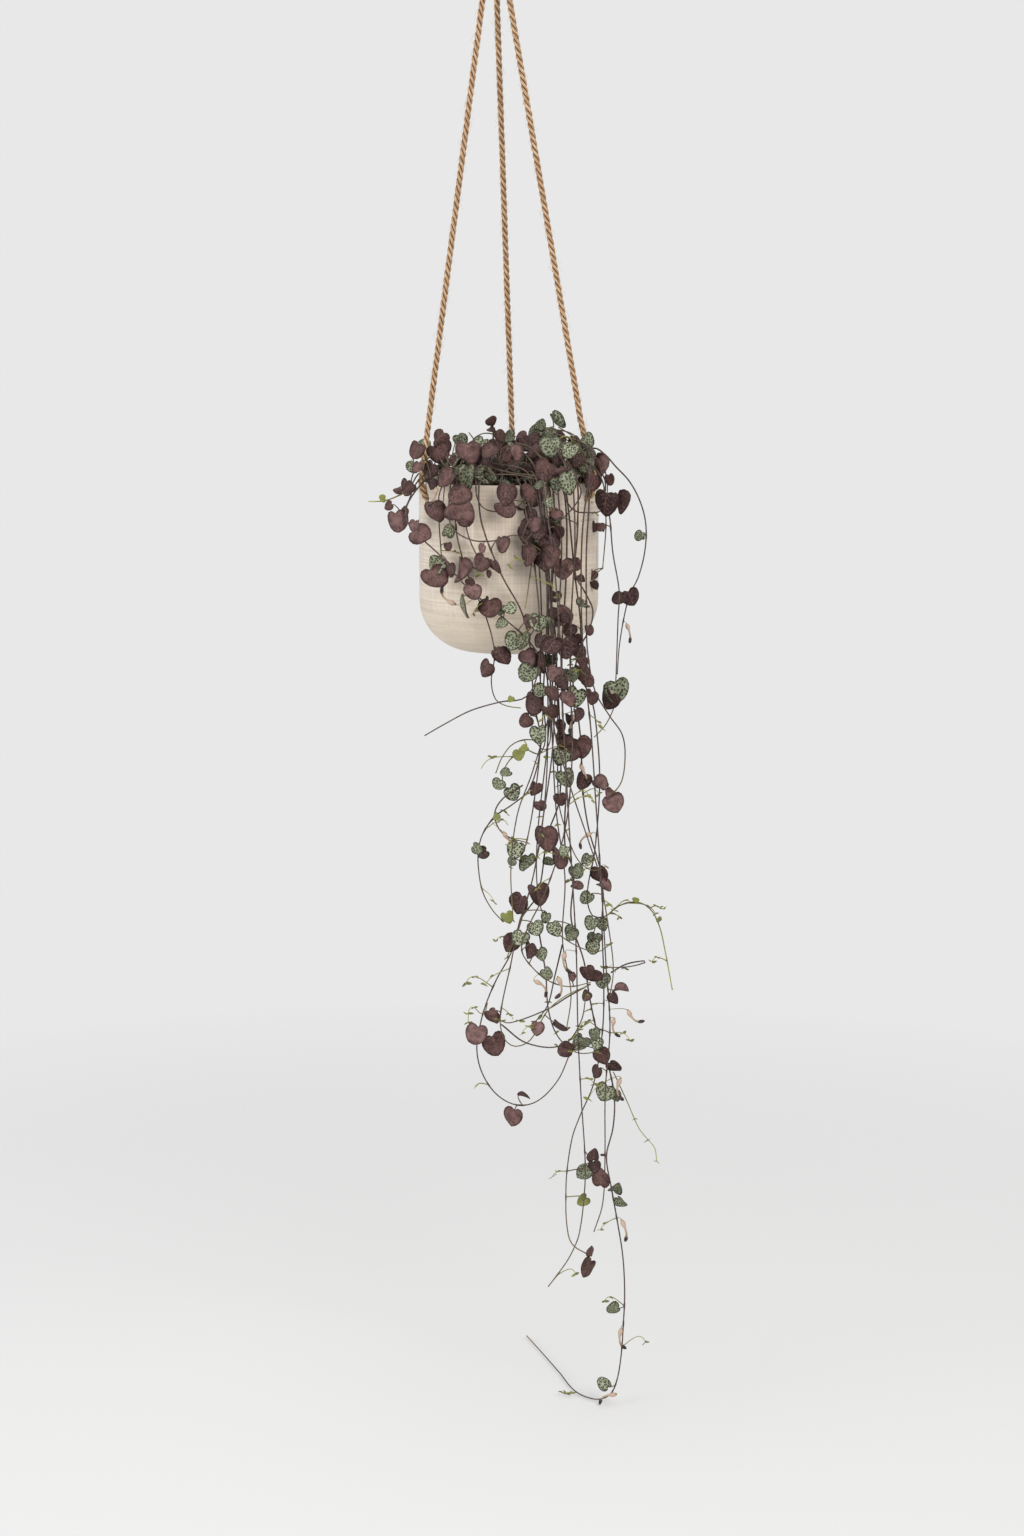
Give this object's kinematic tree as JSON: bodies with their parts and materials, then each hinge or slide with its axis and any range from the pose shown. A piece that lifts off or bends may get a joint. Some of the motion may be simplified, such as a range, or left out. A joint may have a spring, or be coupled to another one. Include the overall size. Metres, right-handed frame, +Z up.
{
  "type": "hanging planter with string of hearts",
  "caption": "Round stoneware pot hung on jute ropes from one loop, planted with string of hearts whose thin vines trail far below it.",
  "frame": {"origin": "where a hook bears inside the top of the hanging loop", "axes": "+Z up, +X to the right and +Y to the back, with the vines trailing over the front of the pot"},
  "size_m": [0.2849, 0.229, 1.4533],
  "materials": {
    "stoneware": "matt warm off-white stoneware with fine throwing rings",
    "soil": "loose dark bark and peat mix",
    "jute": "three-strand twisted jute with stray fibres",
    "vine": "fleshy leaves, purple beneath and marbled green above, on thin purple-brown stems"
  },
  "bodies": {
    "root": {"crown_back": "vine", "crown_back_left": "vine", "crown_back_right": "vine", "crown_centre": "vine", "crown_front": "vine", "crown_front_left": "vine", "crown_left": "vine", "crown_middle": "vine", "crown_peak": "vine", "crown_right": "vine", "crown_right_front": "vine", "crown_right_side": "vine", "crown_upright": "vine", "hang_loop": "jute", "planter_pot": "stoneware", "potting_soil": "soil", "rope_back": "jute", "rope_left": "jute", "rope_right": "jute", "stopper_knot_back": "jute", "stopper_knot_left": "jute", "stopper_knot_right": "jute", "top_knot": "jute", "vine_arching": "vine", "vine_big_loop": "vine", "vine_bunch_left": "vine", "vine_crossing": "vine", "vine_front_garland": "vine", "vine_front_short": "vine", "vine_front_short_left": "vine", "vine_front_slanting": "vine", "vine_front_swag": "vine", "vine_inner_loop": "vine", "vine_left_diagonal": "vine", "vine_left_sprig": "vine", "vine_left_tendril": "vine", "vine_long_shoot": "vine", "vine_longest": "vine", "vine_lower_left": "vine", "vine_lower_right": "vine", "vine_outer_loop": "vine", "vine_right_bunch": "vine", "vine_right_edge": "vine", "vine_right_loop": "vine", "vine_right_parallel": "vine", "vine_right_return": "vine"}
  },
  "joints": []
}
